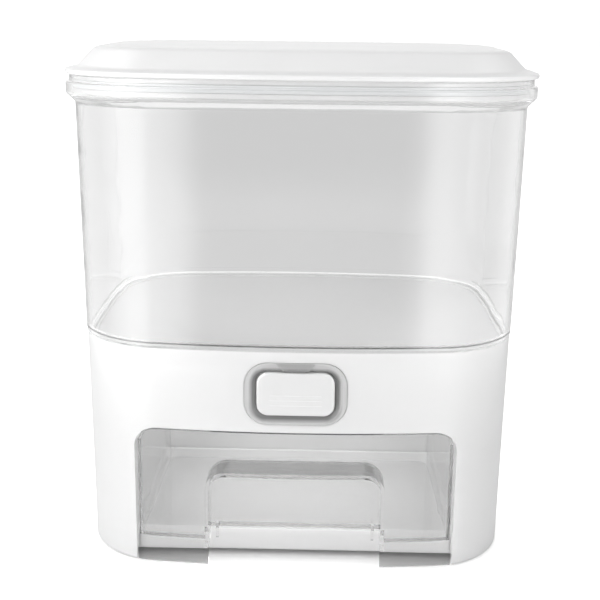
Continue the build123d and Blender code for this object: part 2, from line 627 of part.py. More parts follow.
# ---------------------------------------------------------------- lid body
def dome_section():
    """Flange and soft rise of the lid, in (offset, z), open towards the flat top."""
    tip, low, high = LID_OUT, LID_Z, LID_TOP_Z
    foot, shoulder, landing = tip - LID_STEP, tip - LID_SHOULDER, tip - LID_LANDING
    ledge = low + LID_FLANGE_T
    edge = LID_FLANGE_T * 0.4
    return polygon(
        (landing, high), (shoulder, high - LID_CROWN, 12), (foot, ledge, 8), (tip, ledge, edge),
        (tip, low, edge), (foot - 0.3, low), (shoulder - 0.9, high - LID_CROWN - LID_T - 0.1, 9),
        (landing, high - LID_T),
    )


def make_lid_cover():
    """White lid: thin overhanging flange, soft rise and a flat top."""
    rim = around(dome_section())
    top = extrude(outline(LID_OUT - LID_LANDING + 0.5, LID_TOP_Z - LID_T), LID_T)
    return rim + top


def make_lid_ring():
    """White skirt under the lid that centres it in the collar, grooved for the gasket."""
    out = LID_RING_OUT - GASKET_OUT
    low = LID_Z - LID_RING_DROP
    mid = (low + LID_Z) / 2
    half = GASKET_H / 2 + GAP
    return around(polygon(
        (LID_RING_OUT, LID_Z), (out - LID_RING_T, LID_Z), (out - LID_RING_T, low, 0.5),
        (LID_RING_OUT, low, 0.8), (LID_RING_OUT, mid - half), (out, mid - half),
        (out, mid + half), (LID_RING_OUT, mid + half),
    ))


def make_lid_gasket():
    """Silicone ring in the groove, with two rounded lips."""
    out = LID_RING_OUT - GASKET_OUT
    mid = LID_Z - LID_RING_DROP / 2
    half = GASKET_H / 2
    lip = COLLAR_IN - 0.12
    return around(polygon(
        (out, mid - half), (lip, mid - half + 0.3, 0.3), (lip, mid - 0.5, 0.3), (out + 0.5, mid),
        (lip, mid + 0.5, 0.3), (lip, mid + half - 0.3, 0.3), (out, mid + half),
    ))


# ---------------------------------------------------------------- drawer body
def tray(half_front, low, high, back_y):
    """Prism of the drawer, wider in front than at the back, with rounded back corners."""
    front_y = -HALF_D - 5
    lean = DRAWER_DRAFT * (back_y - front_y) / (back_y + HALF_D)
    shape = make_face(Polyline(
        (-half_front, front_y), (half_front, front_y), (half_front - lean, back_y),
        (-half_front + lean, back_y), close=True))
    shape = fillet(shape.vertices().group_by(Axis.Y)[-1], 8)
    return extrude(Pos(0, 0, low) * shape, high - low)


def make_drawer():
    """Clear drawer in one moulding: front to the table, tray behind, finger pocket."""
    front = (arch(2 * DRAWER_HALF_W, DRAWER_BOTTOM_Z, MOUTH_TOP_Z - MOUTH_GAP, MOUTH_R - MOUTH_GAP,
                  -HALF_D - 5, -HALF_D / 2)
             & base_skin(0, -DRAWER_WALL, 0.5, JOINT_Z - 5))
    inside = make_drawer_inside()
    outer = tray(TRAY_HALF_W, DRAWER_Z, DRAWER_RIM_Z, DRAWER_BACK_Y) & inside
    hollow = tray(TRAY_HALF_W - DRAWER_WALL, DRAWER_Z + DRAWER_FLOOR_T, DRAWER_RIM_Z + 5,
                  DRAWER_BACK_Y - DRAWER_WALL) & inside
    pocket_y = -HALF_D + POCKET_DEPTH
    t = DRAWER_WALL
    cheeks = arch(POCKET_W + 2 * t, POCKET_FOOT_Z, POCKET_TOP_Z + t, POCKET_R + t,
                  -HALF_D - 5, DECK_FRONT_Y - GAP) & inside
    housing = arch(POCKET_W + 2 * t, DRAWER_Z, POCKET_TOP_Z + t, POCKET_R + t,
                   -HALF_D - 5, pocket_y + t) & inside
    drawer = front + (outer - hollow) + cheeks + housing
    drawer -= arch(POCKET_W, -5, POCKET_TOP_Z, POCKET_R, -HALF_D - 10, pocket_y)
    tab_y = DECK_FRONT_Y - GAP
    tab = block(TAB_X - TAB_W / 2, TAB_X + TAB_W / 2, tab_y - 1.6, tab_y, TAB_LOW_Z, DRAWER_Z + 4)
    tab += block(TAB_X - TAB_W / 2, TAB_X + TAB_W / 2, tab_y - 1.6, pocket_y + 0.5,
                 DRAWER_Z, DRAWER_Z + 4)
    for piece in both_sides(tab):
        drawer += piece
    return drawer


def make_drawer_inside():
    """Everything behind the middle of the drawer front."""
    back = DRAWER_BACK_Y + 20
    z0, z1 = 0.5, JOINT_Z - 5
    mid = -DRAWER_WALL / 2
    body = loft([outline(mid + base_offset(z0), z0), outline(mid + base_offset(z1), z1)], ruled=True)
    return body & block(-HALF_W, HALF_W, -HALF_D, back, z0, z1)


# ---------------------------------------------------------------- build
def build():
    """Every node of the part, by name."""
    nodes = {
        "base_housing": make_base_housing(),
        "bottom_plate": make_bottom_plate(),
        "hopper": make_hopper(),
        "hopper_seal": make_hopper_seal(),
        "funnel": make_funnel(),
        "gate_guide": make_gate_guide(),
        "button_bezel": make_button_bezel(),
        "button_cap": make_button_cap(),
        "push_frame": make_push_frame(),
        "shutter_plate": make_shutter_plate(),
        "return_spring_left": make_spring(-SPRING_X),
        "return_spring_right": make_spring(SPRING_X),
        "lid_cover": make_lid_cover(),
        "lid_ring": make_lid_ring(),
        "lid_gasket": make_lid_gasket(),
        "drawer": make_drawer(),
        "plate_screws": Compound(screws(plate_screw_places(), PAN_Z, 16)),
        "gate_screws": Compound(screws(GATE_SCREWS, GATE_Z, 10)),
        "shutter_screws": Compound(shutter_screws()),
        "funnel_screws": Compound(
            screws(FUNNEL_SCREWS, SEAT_Z - SEAT_EAR_T, SEAT_EAR_T + FUNNEL_BOSS_H - 1.5, head=2.6)),
    }
    for number, foot in enumerate(make_feet(), 1):
        nodes[f"foot_{number}"] = foot
    return nodes


def turned(made, z):
    """Screws turned over, to be driven downwards with the head seated at z."""
    return [Pos(0, 0, 2 * z) * mirror(screw, Plane.XY) for screw in made]


def shutter_screws():
    """Two screws through the foot of the push frame into the shutter."""
    seat = SHUTTER_Z + SHUTTER_T + PUSH_T
    return turned(screws(SHUTTER_SCREWS, seat, PUSH_T + SHUTTER_T - 0.3, head=2.6), seat)


def main():
    """Write one STEP file per node."""
    os.makedirs("parts", exist_ok=True)
    for name, solid in build().items():
        export_step(solid, f"parts/{name}.step")


main()
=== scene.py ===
"""Looks of a countertop rice dispenser with a drawer: materials, springs, screws and studio.

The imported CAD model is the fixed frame. Metres, +Z up, the front faces -Y.
"""
import json
from math import atan2, cos, pi, radians, sin, sqrt, tan

import bmesh
import bpy
from bpy.props import FloatProperty, FloatVectorProperty, IntProperty, PointerProperty
from bpy.types import Operator, Panel, PropertyGroup
from mathutils import Matrix, Vector

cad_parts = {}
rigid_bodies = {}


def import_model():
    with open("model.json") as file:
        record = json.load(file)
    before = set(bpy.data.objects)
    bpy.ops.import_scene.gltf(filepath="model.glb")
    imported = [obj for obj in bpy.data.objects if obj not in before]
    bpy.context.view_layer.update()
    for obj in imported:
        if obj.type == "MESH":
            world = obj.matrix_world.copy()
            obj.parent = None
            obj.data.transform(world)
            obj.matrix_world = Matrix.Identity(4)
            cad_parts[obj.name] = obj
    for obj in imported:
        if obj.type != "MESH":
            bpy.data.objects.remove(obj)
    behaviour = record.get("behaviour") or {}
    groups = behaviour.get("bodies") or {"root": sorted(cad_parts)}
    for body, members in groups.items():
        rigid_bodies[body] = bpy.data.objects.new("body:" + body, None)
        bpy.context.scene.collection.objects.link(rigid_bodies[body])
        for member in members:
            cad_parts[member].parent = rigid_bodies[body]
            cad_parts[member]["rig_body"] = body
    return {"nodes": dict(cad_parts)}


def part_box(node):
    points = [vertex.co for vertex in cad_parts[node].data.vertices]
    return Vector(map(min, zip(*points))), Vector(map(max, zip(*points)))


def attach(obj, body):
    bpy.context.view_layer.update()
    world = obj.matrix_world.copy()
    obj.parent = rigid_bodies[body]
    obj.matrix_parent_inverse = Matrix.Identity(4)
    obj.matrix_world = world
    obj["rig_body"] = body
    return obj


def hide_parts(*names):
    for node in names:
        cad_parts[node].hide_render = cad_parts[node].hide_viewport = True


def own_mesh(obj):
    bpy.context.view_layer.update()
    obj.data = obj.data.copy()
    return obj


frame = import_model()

bl_info = {
    "name": "Rice dispenser looks",
    "version": (1, 0, 0),
    "blender": (4, 5, 0),
    "location": "3D View > Sidebar > Dispenser",
    "description": "Finishes, springs, screws and studio for a rice dispenser with a drawer",
    "category": "Object",
}

MM = 0.001
WELD, SLIVER = 2e-6, 1e-6        # CAD points nearer than this are joined, shorter edges removed
WHITE = (1.0, 1.0, 1.0, 1.0)


# ------------------------------------------------------------------ settings
class FinishSettings(PropertyGroup):
    """Colours and surface of the plastics, rubber and steel."""

    white_colour: FloatVectorProperty(
        name="White plastic", description="Colour of the white mouldings",
        subtype="COLOR", size=3, default=(0.91, 0.91, 0.91))
    white_roughness: FloatProperty(
        name="White roughness", description="Mean roughness of the white mouldings",
        subtype="FACTOR", min=0.0, max=1.0, default=0.34)
    clear_colour: FloatVectorProperty(
        name="Clear plastic", description="Tint of the clear mouldings for light that goes through",
        subtype="COLOR", size=3, default=(0.93, 0.93, 0.93))
    grey_colour: FloatVectorProperty(
        name="Grey plastic", description="Colour of the ring round the button",
        subtype="COLOR", size=3, default=(0.66, 0.66, 0.66))
    grain_size: FloatProperty(
        name="Grain size", description="Size of the fine moulding grain",
        subtype="DISTANCE", unit="LENGTH", default=0.45 * MM)
    grain_depth: FloatProperty(
        name="Grain depth", description="Depth of the fine moulding grain",
        subtype="DISTANCE", unit="LENGTH", default=0.006 * MM)


class HardwareSettings(PropertyGroup):
    """Sizes of the springs and screws."""

    spring_radius: FloatProperty(
        name="Spring radius", description="Radius of the coil to the middle of the wire",
        subtype="DISTANCE", unit="LENGTH", default=3.75 * MM)
    wire_radius: FloatProperty(
        name="Wire radius", description="Radius of the spring wire",
        subtype="DISTANCE", unit="LENGTH", default=0.45 * MM)
    spring_turns: IntProperty(
        name="Turns", description="Turns of each return spring, closed end turns included",
        min=4, max=20, default=9)
    shank_radius: FloatProperty(
        name="Shank radius", description="Radius of a screw's shank at the crest of its thread",
        subtype="DISTANCE", unit="LENGTH", default=1.5 * MM)
    thread_pitch: FloatProperty(
        name="Thread pitch", description="Distance between two turns of the thread",
        subtype="DISTANCE", unit="LENGTH", default=1.1 * MM)
    recess_width: FloatProperty(
        name="Recess width", description="Width of one arm of the cross recess",
        subtype="DISTANCE", unit="LENGTH", default=0.75 * MM)


class StudioSettings(PropertyGroup):
    """Camera and lights."""

    camera_distance: FloatProperty(
        name="Camera distance",
        description="From the middle of the object to the camera, along the table",
        subtype="DISTANCE", unit="LENGTH", default=0.7626)
    camera_height: FloatProperty(
        name="Camera height", description="Height of the camera over the table",
        subtype="DISTANCE", unit="LENGTH", default=0.3452)
    camera_turn: FloatProperty(
        name="Camera turn", description="How far the camera stands round the object",
        subtype="ANGLE", unit="ROTATION", default=0.0183)
    camera_pitch: FloatProperty(
        name="Camera pitch", description="How far the camera looks down",
        subtype="ANGLE", unit="ROTATION", default=0.2501)
    camera_roll: FloatProperty(
        name="Camera roll", description="How far the camera is tilted about its own axis",
        subtype="ANGLE", unit="ROTATION", default=0.0124)
    lens: FloatProperty(
        name="Lens", description="Focal length on a 36 mm wide sensor",
        subtype="DISTANCE_CAMERA", default=67.5)
    front_power: FloatProperty(
        name="Front box", description="Power of the soft box over the camera",
        unit="POWER", default=8.6)
    drawer_power: FloatProperty(
        name="Drawer lamp", description="Power of the small lamp over the drawer",
        unit="POWER", default=0.11)
    key_power: FloatProperty(
        name="Left box", description="Power of the soft box on the left",
        unit="POWER", default=3.2)
    screen_strength: FloatProperty(
        name="Screen", description="Strength of the screen that draws the upright highlights",
        default=3.08)
    sky_strength: FloatProperty(
        name="Sky", description="Strength of the even light from all round", default=0.65)


# ------------------------------------------------------------------ node tree helpers
class Tree:
    """Adds and links nodes in one node tree."""

    def __init__(self, tree):
        self.tree = tree

    def add(self, kind, inputs=None, **settings):
        """A node of that kind; inputs are values or other nodes' outputs, by name or number."""
        node = self.tree.nodes.new(kind)
        for name, value in settings.items():
            setattr(node, name, value)
        for key, value in (inputs or {}).items():
            self.put(node.inputs[key], value)
        return node

    def put(self, socket, value):
        """Link an output to a socket, or set its value."""
        if isinstance(value, bpy.types.NodeSocket):
            self.tree.links.new(value, socket)
        else:
            socket.default_value = value

    def math(self, operation, *values, clamp=False):
        """Output of a Math node."""
        node = self.add("ShaderNodeMath", operation=operation, use_clamp=clamp)
        for socket, value in zip(node.inputs, values):
            self.put(socket, value)
        return node.outputs[0]

    def spread(self, value, low, high, to_low, to_high):
        """Output of a clamped Map Range node."""
        node = self.add("ShaderNodeMapRange", {"Value": value, "From Min": low, "From Max": high,
                                               "To Min": to_low, "To Max": to_high})
        return node.outputs["Result"]

    def from_box(self, place, *sides):
        """Distance of a place from a flat box: (axis, middle, half width) for each side."""
        part = self.add("ShaderNodeSeparateXYZ", {"Vector": place})
        past = []
        for axis, middle, reach in sides:
            away = self.math("ABSOLUTE", self.math("SUBTRACT", part.outputs[axis], middle))
            past.append(self.math("MAXIMUM", self.math("SUBTRACT", away, reach), 0.0))
        return self.math("SQRT", self.math("ADD", *(self.math("MULTIPLY", p, p) for p in past)))


def new_group(name, kind, inputs, outputs):
    """Node group with named sockets: (name, socket kind, default) each, and its two end nodes."""
    group = bpy.data.node_groups.new(name, kind)
    for label, socket, default in inputs:
        made = group.interface.new_socket(label, in_out="INPUT", socket_type=socket)
        if default is not None:
            made.default_value = default
    for label, socket in outputs:
        group.interface.new_socket(label, in_out="OUTPUT", socket_type=socket)
    return group, group.nodes.new("NodeGroupInput"), group.nodes.new("NodeGroupOutput")


def grey(level):
    """Opaque neutral colour."""
    return (level, level, level, 1.0)


def new_object(name, data):
    """Object of that data, linked into the scene."""
    made = bpy.data.objects.new(name, data)
    bpy.context.scene.collection.objects.link(made)
    return made


# ------------------------------------------------------------------ shared surface effects
def moulding_grain():
    """Fine pores and slow waviness of moulded plastic: a height, and a roughness that varies."""
    found = bpy.data.node_groups.get("moulding grain")
    if found:
        return found
    group, ends, out = new_group(
        "moulding grain", "ShaderNodeTree",
        [("Scale", "NodeSocketFloat", 2000.0), ("Waviness", "NodeSocketFloat", 0.3),
         ("Roughness", "NodeSocketFloat", 0.35), ("Spread", "NodeSocketFloat", 0.06)],
        [("Height", "NodeSocketFloat"), ("Roughness", "NodeSocketFloat")])
    t = Tree(group)
    place = t.add("ShaderNodeTexCoord").outputs["Object"]
    pores = t.add("ShaderNodeTexNoise", {"Vector": place, "Scale": ends.outputs["Scale"],
                                         "Detail": 3.0, "Roughness": 0.6})
    slow = t.add("ShaderNodeTexNoise", {"Vector": place, "Scale": 18.0, "Detail": 2.0})
    patches = t.add("ShaderNodeTexNoise", {"Vector": place, "Scale": 42.0, "Detail": 5.0,
                                           "Roughness": 0.65})
    swell = t.math("MULTIPLY", slow.outputs["Fac"], ends.outputs["Waviness"])
    t.put(out.inputs["Height"], t.math("ADD", pores.outputs["Fac"], swell))
    fine = t.spread(pores.outputs["Fac"], 0.3, 0.7, -0.35, 0.35)
    broad = t.spread(patches.outputs["Fac"], 0.3, 0.7, -1.0, 1.0)
    change = t.math("MULTIPLY", t.math("ADD", fine, broad), ends.outputs["Spread"])
    t.put(out.inputs["Roughness"], t.math("ADD", ends.outputs["Roughness"], change, clamp=True))
    return group


def handling_marks():
    """Faint smudges and hairline scratches, as a mask from 0 to 1."""
    found = bpy.data.node_groups.get("handling marks")
    if found:
        return found
    group, ends, out = new_group(
        "handling marks", "ShaderNodeTree",
        [("Smudge Scale", "NodeSocketFloat", 12.0), ("Scratch Scale", "NodeSocketFloat", 60.0)],
        [("Smudges", "NodeSocketFloat"), ("Scratches", "NodeSocketFloat")])
    t = Tree(group)
    place = t.add("ShaderNodeTexCoord").outputs["Object"]
    smear = t.add("ShaderNodeTexNoise", {"Vector": place, "Scale": ends.outputs["Smudge Scale"],
                                         "Detail": 6.0, "Roughness": 0.7, "Distortion": 0.6})
    t.put(out.inputs["Smudges"], t.spread(smear.outputs["Fac"], 0.52, 0.72, 0.0, 1.0))
    lines = None
    for turn in ((0.3, 0.5, 0.2), (1.9, 0.4, 1.1)):
        laid = t.add("ShaderNodeMapping", {"Vector": place, "Rotation": turn,
                                           "Scale": (1.0, 14.0, 1.0)})
        hair = t.add("ShaderNodeTexNoise", {"Vector": laid.outputs[0],
                                            "Scale": ends.outputs["Scratch Scale"], "Detail": 2.0})
        band = t.math("ABSOLUTE", t.math("SUBTRACT", hair.outputs["Fac"], 0.5))
        line = t.spread(band, 0.0, 0.006, 1.0, 0.0)
        lines = line if lines is None else t.math("MAXIMUM", lines, line)
    t.put(out.inputs["Scratches"], lines)
    return group


def new_material(name):
    """Empty node material, its tree and its output node."""
    material = bpy.data.materials.new(name)
    material.use_nodes = True
    material.node_tree.nodes.clear()
    t = Tree(material.node_tree)
    return material, t, t.add("ShaderNodeOutputMaterial")


def grained(t, finish, roughness, spread, depth=1.0):
    """Roughness output and bump normal of the moulding grain in a material."""
    grain = t.add("ShaderNodeGroup", node_tree=moulding_grain())
    grain.inputs["Scale"].default_value = 1.0 / finish.grain_size
    grain.inputs["Roughness"].default_value = roughness
    grain.inputs["Spread"].default_value = spread
    bump = t.add("ShaderNodeBump", {"Height": grain.outputs["Height"], "Strength": 1.0,
                                    "Distance": finish.grain_depth * depth})
    return grain.outputs["Roughness"], bump.outputs["Normal"]


def opaque_plastic(name, finish, colour, roughness, depth=1.0, coat=0.0):
    """Moulded plastic with grain, slow tone changes and faint smudges."""
    found = bpy.data.materials.get(name)
    if found:
        return found
    smudge = 0.05      # added to the roughness
    darker = 0.975     # tone of the darker patches
    material, t, out = new_material(name)
    rough, normal = grained(t, finish, roughness, spread=0.05, depth=depth)
    marks = t.add("ShaderNodeGroup", node_tree=handling_marks())
    worn = t.math("ADD", rough, t.math("MULTIPLY", marks.outputs["Smudges"], smudge), clamp=True)
    place = t.add("ShaderNodeTexCoord").outputs["Object"]
    tone = t.add("ShaderNodeTexNoise", {"Vector": place, "Scale": 9.0, "Detail": 3.0})
    shade = t.add("ShaderNodeMix", data_type="RGBA")
    t.put(shade.inputs["Factor"], t.spread(tone.outputs["Fac"], 0.35, 0.65, 0.0, 1.0))
    t.put(shade.inputs["A"], (*colour, 1.0))
    t.put(shade.inputs["B"], (*[c * darker for c in colour], 1.0))
    surface = t.add("ShaderNodeBsdfPrincipled", {
        "Base Color": shade.outputs["Result"], "Roughness": worn, "Normal": normal,
        "IOR": 1.5, "Coat Weight": coat, "Coat Roughness": 0.12,
        "Subsurface Weight": 0.6, "Subsurface Radius": (1.0, 1.0, 1.0), "Subsurface Scale": 0.004,
    })
    t.put(out.inputs["Surface"], surface.outputs["BSDF"])
    return material


def clear_plastic(finish):
    """Clear moulded plastic; light for what is inside, or trapped in a wall, passes unbent."""
    found = bpy.data.materials.get("clear plastic")
    if found:
        return found
    scratch, smudge = 0.05, 0.012        # added to the roughness
    last_bounce = 4.5                    # rays past this many bounces are taken as trapped
    dimmed, lighting = 0.84, 0.97        # what passes of a trapped ray, and of light for the inside
    material, t, out = new_material("clear plastic")
    marks = t.add("ShaderNodeGroup", node_tree=handling_marks())
    rough, normal = grained(t, finish, roughness=0.016, spread=0.006, depth=0.01)
    worn = t.math("ADD", rough, t.math("MULTIPLY", marks.outputs["Scratches"], scratch))
    worn = t.math("ADD", worn, t.math("MULTIPLY", marks.outputs["Smudges"], smudge), clamp=True)
    glass = t.add("ShaderNodeBsdfPrincipled", {
        "Base Color": (*finish.clear_colour, 1.0), "Roughness": worn, "Normal": normal,
        "IOR": 1.5, "Transmission Weight": 1.0,
    })
    path = t.add("ShaderNodeLightPath")
    light = t.math("MAXIMUM", path.outputs["Is Shadow Ray"], path.outputs["Is Diffuse Ray"])
    trapped = t.math("GREATER_THAN", path.outputs["Ray Depth"], last_bounce)
    straight = t.math("MAXIMUM", light, trapped)
    passed = t.spread(light, 0.0, 1.0, dimmed, lighting)
    shade = t.add("ShaderNodeCombineColor", {"Red": passed, "Green": passed, "Blue": passed})
    unbent = t.add("ShaderNodeBsdfTransparent", {"Color": shade.outputs[0]})
    mixed = t.add("ShaderNodeMixShader", {0: straight, 1: glass.outputs[0], 2: unbent.outputs[0]})
    t.put(out.inputs["Surface"], mixed.outputs[0])
    return material


def zinc_steel(finish):
    """Bright zinc-plated steel, slightly brushed."""
    found = bpy.data.materials.get("zinc steel")
    if found:
        return found
    material, t, out = new_material("zinc steel")
    rough, normal = grained(t, finish, roughness=0.3, spread=0.08, depth=0.5)
    place = t.add("ShaderNodeTexCoord").outputs["Object"]
    bloom = t.add("ShaderNodeTexNoise", {"Vector": place, "Scale": 400.0, "Detail": 4.0})
    tone = t.add("ShaderNodeMix", data_type="RGBA")
    t.put(tone.inputs["Factor"], t.spread(bloom.outputs["Fac"], 0.35, 0.65, 0.0, 1.0))
    t.put(tone.inputs["A"], (0.62, 0.62, 0.63, 1.0))
    t.put(tone.inputs["B"], (0.5, 0.51, 0.53, 1.0))
    metal = t.add("ShaderNodeBsdfPrincipled", {
        "Base Color": tone.outputs["Result"], "Roughness": rough, "Normal": normal, "Metallic": 1.0,
    })
    t.put(out.inputs["Surface"], metal.outputs["BSDF"])
    return material


def white_plastic(finish):
    """Glossy white plastic of the mouldings."""
    return opaque_plastic("white plastic", finish, finish.white_colour, finish.white_roughness,
                          coat=0.15)


def grey_plastic(finish):
    """Grey plastic of the ring round the button, with painted shade in the sunken hollow next to
    the cap.
    """
    found = bpy.data.materials.get("grey plastic")
    material = opaque_plastic("grey plastic", finish, finish.grey_colour, roughness=0.38)
    if found:
        return material
    corner = 7.5 * MM                     # radius of the cap's corners
    foot, rim = 0.4 * MM, 3.2 * MM        # where the painted shade starts and ends, out from the cap
    darkest_painted_shade = 0.3                         # share of the colour at its foot, where the painted shade is darkest
    low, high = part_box("button_cap")
    middle, half = (low + high) / 2, (high - low) / 2
    t = Tree(material.node_tree)
    away = t.from_box(t.add("ShaderNodeTexCoord").outputs["Object"],
                      ("X", middle.x, half.x - corner), ("Z", middle.z, half.z - corner))
    # painted shade: the ring's colour darkens towards the cap, standing in for the shade in the
    # hollow round it
    painted_shade_by_cap = t.spread(away, corner + foot, corner + rim, darkest_painted_shade, 1.0)
    shell = next(n for n in material.node_tree.nodes if n.bl_idname == "ShaderNodeBsdfPrincipled")
    plain = shell.inputs["Base Color"].links[0].from_socket
    shade = t.add("ShaderNodeVectorMath", operation="SCALE")
    t.put(shade.inputs[0], plain)
    t.put(shade.inputs["Scale"], painted_shade_by_cap)
    t.put(shell.inputs["Base Color"], shade.outputs[0])
    return material


def silicone(finish):
    """Pale soft rubber of the seals."""
    return opaque_plastic("silicone", finish, (0.74, 0.74, 0.74), roughness=0.5, depth=1.5)


def foot_rubber(finish):
    """Dark rubber of the feet."""
    return opaque_plastic("foot rubber", finish, (0.3, 0.3, 0.3), roughness=0.62, depth=3.0)


# ------------------------------------------------------------------ finished copies of CAD pieces
def finished_copy(node, material, sharp=32.0):
    """Smooth-shaded copy of a CAD node that stands for it."""
    work = bmesh.new()
    work.from_mesh(frame["nodes"][node].data)
    bmesh.ops.remove_doubles(work, verts=work.verts, dist=WELD)
    bmesh.ops.dissolve_degenerate(work, edges=work.edges, dist=SLIVER)
    return finished_piece(work, node, material, sharp)


def finished_piece(work, node, material, sharp):
    """Object of a bmesh that replaces a CAD node; edges sharper than the angle stay crisp."""
    mesh = bpy.data.meshes.new(f"{node}_finished")
    for face in work.faces:
        face.smooth = True
    for edge in work.edges:
        edge.smooth = edge.is_manifold and edge.calc_face_angle(pi) < radians(sharp)
    work.to_mesh(mesh)
    work.free()
    mesh.materials.clear()
    mesh.materials.append(material)
    piece = new_object(f"{node}_finished", mesh)
    weighted = piece.modifiers.new("even shading", "WEIGHTED_NORMAL")
    weighted.keep_sharp = True
    weighted.weight = 100
    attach(piece, frame["nodes"][node]["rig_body"])
    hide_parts(node)
    return piece


# ------------------------------------------------------------------ lid form
BODY_W, BODY_D = 280 * MM, 218 * MM                              # plan of the body
SIDE_R, CORNER_R, FRONT_R = 680 * MM, 56.5 * MM, 790 * MM        # its arcs, seen from above
PLAN_STEPS = (8, 26, 10)                                         # points on those of one quarter
LID_SECTION = (   # (offset from the plan, height, rounding) in mm, from the top round to inside
    (-23.2, 324.7, 0.0), (-10.2, 324.2, 7.0), (1.3, 312.3, 4.0), (8.8, 310.8, 1.2),
    (8.8, 307.8, 1.2), (1.0, 307.8, 0.0), (-11.1, 321.9, 5.0), (-23.2, 322.5, 0.0),
)


def plan_stations(offset):
    """Points of the body's plan outline moved outwards by offset, once round."""
    back, side = Vector((0.0, BODY_D / 2 - FRONT_R)), Vector((BODY_W / 2 - SIDE_R, 0.0))
    reach, other = FRONT_R - CORNER_R, SIDE_R - CORNER_R
    line = side - back
    along = (reach ** 2 - other ** 2 + line.length_squared) / (2 * line.length)
    aside = sqrt(reach ** 2 - along ** 2)
    line.normalize()
    corner = back + line * along + Vector((line.y, -line.x)) * aside
    side_end = atan2(*reversed(corner - side))
    back_start = atan2(*reversed(corner - back))
    turns = (0.0, side_end, back_start, pi / 2)
    arcs = zip((side, corner, back), (SIDE_R, CORNER_R, FRONT_R), turns, turns[1:], PLAN_STEPS)
    quarter = []
    for centre, radius, start, end, steps in arcs:
        for step in range(steps):
            turn = start + (end - start) * step / steps
            quarter.append(centre + Vector((cos(turn), sin(turn))) * (radius + offset))
    top = back + Vector((0.0, FRONT_R + offset))
    right_back = [(p.x, p.y) for p in quarter]
    left_back = [(-p.x, p.y) for p in reversed(quarter)]
    half = right_back + [(0.0, top.y)] + left_back
    return half + [(x, -y) for x, y in reversed(half[1:-1])]


def rounded(section, steps=6):
    """Open line through (offset, height, rounding) corners, each rounded by its own radius."""
    line = [Vector(section[0][:2])]
    for before, corner, after in zip(section, section[1:], section[2:]):
        point, radius = Vector(corner[:2]), corner[2]
        if not radius:
            line.append(point)
            continue
        first = (Vector(before[:2]) - point).normalized()
        second = (Vector(after[:2]) - point).normalized()
        half = first.angle(second) / 2
        centre = point + (first + second).normalized() * radius / sin(half)
        start = (point + first * radius / tan(half) - centre).normalized()
        end = (point + second * radius / tan(half) - centre).normalized()
        line.extend(centre + start.slerp(end, step / steps) * radius for step in range(steps + 1))
    line.append(Vector(section[-1][:2]))
    return line


def lid_form():
    """Bmesh of the lid cover: its section led round the plan outline, closed by two flat tops."""
    work = bmesh.new()
    rings = []
    for offset, height in rounded(LID_SECTION):
        rings.append([work.verts.new((x, y, height * MM)) for x, y in plan_stations(offset * MM)])
    for ring, further in zip(rings, rings[1:]):
        for i in range(len(ring)):
            work.faces.new((ring[i - 1], further[i - 1], further[i], ring[i]))
    work.faces.new(rings[0])
    work.faces.new(list(reversed(rings[-1])))
    bmesh.ops.recalc_face_normals(work, faces=work.faces)
    return work


def separate_parts(node):
    """Box of each loose part of a CAD node: (lowest corner, highest corner)."""
    work = bmesh.new()
    work.from_mesh(frame["nodes"][node].data)
    bmesh.ops.remove_doubles(work, verts=work.verts, dist=WELD)
    boxes, seen = [], set()
    for start in work.verts:
        if start.index in seen:
            continue
        stack, found = [start], []
        seen.add(start.index)
        while stack:
            vert = stack.pop()
            found.append(vert.co.copy())
            for edge in vert.link_edges:
                other = edge.other_vert(vert)
                if other.index not in seen:
                    seen.add(other.index)
                    stack.append(other)
        boxes.append((Vector([min(c[i] for c in found) for i in range(3)]),
                      Vector([max(c[i] for c in found) for i in range(3)])))
    work.free()
    return boxes


# ------------------------------------------------------------------ Geometry Nodes
def run_tree(group, name, values, base=None, material=None):
    """Plain mesh object made by a Geometry Nodes tree with those input values."""
    mesh = base or bpy.data.meshes.new(name)
    carrier = new_object(f"{name}_maker", mesh)
    modifier = carrier.modifiers.new("shape", "NODES")
    modifier.node_group = group
    sockets = {s.name: s.identifier for s in group.interface.items_tree
               if s.item_type == "SOCKET" and s.in_out == "INPUT"}
    for label, value in values.items():
        modifier[sockets[label]] = value
    depsgraph = bpy.context.evaluated_depsgraph_get()
    made = bpy.data.meshes.new_from_object(carrier.evaluated_get(depsgraph))
    bpy.data.objects.remove(carrier)
    if not made.polygons:
        raise RuntimeError(f"{name}: the tree made no faces")
    made.name = name
    made.materials.clear()
    made.materials.append(material)
    return new_object(name, made)


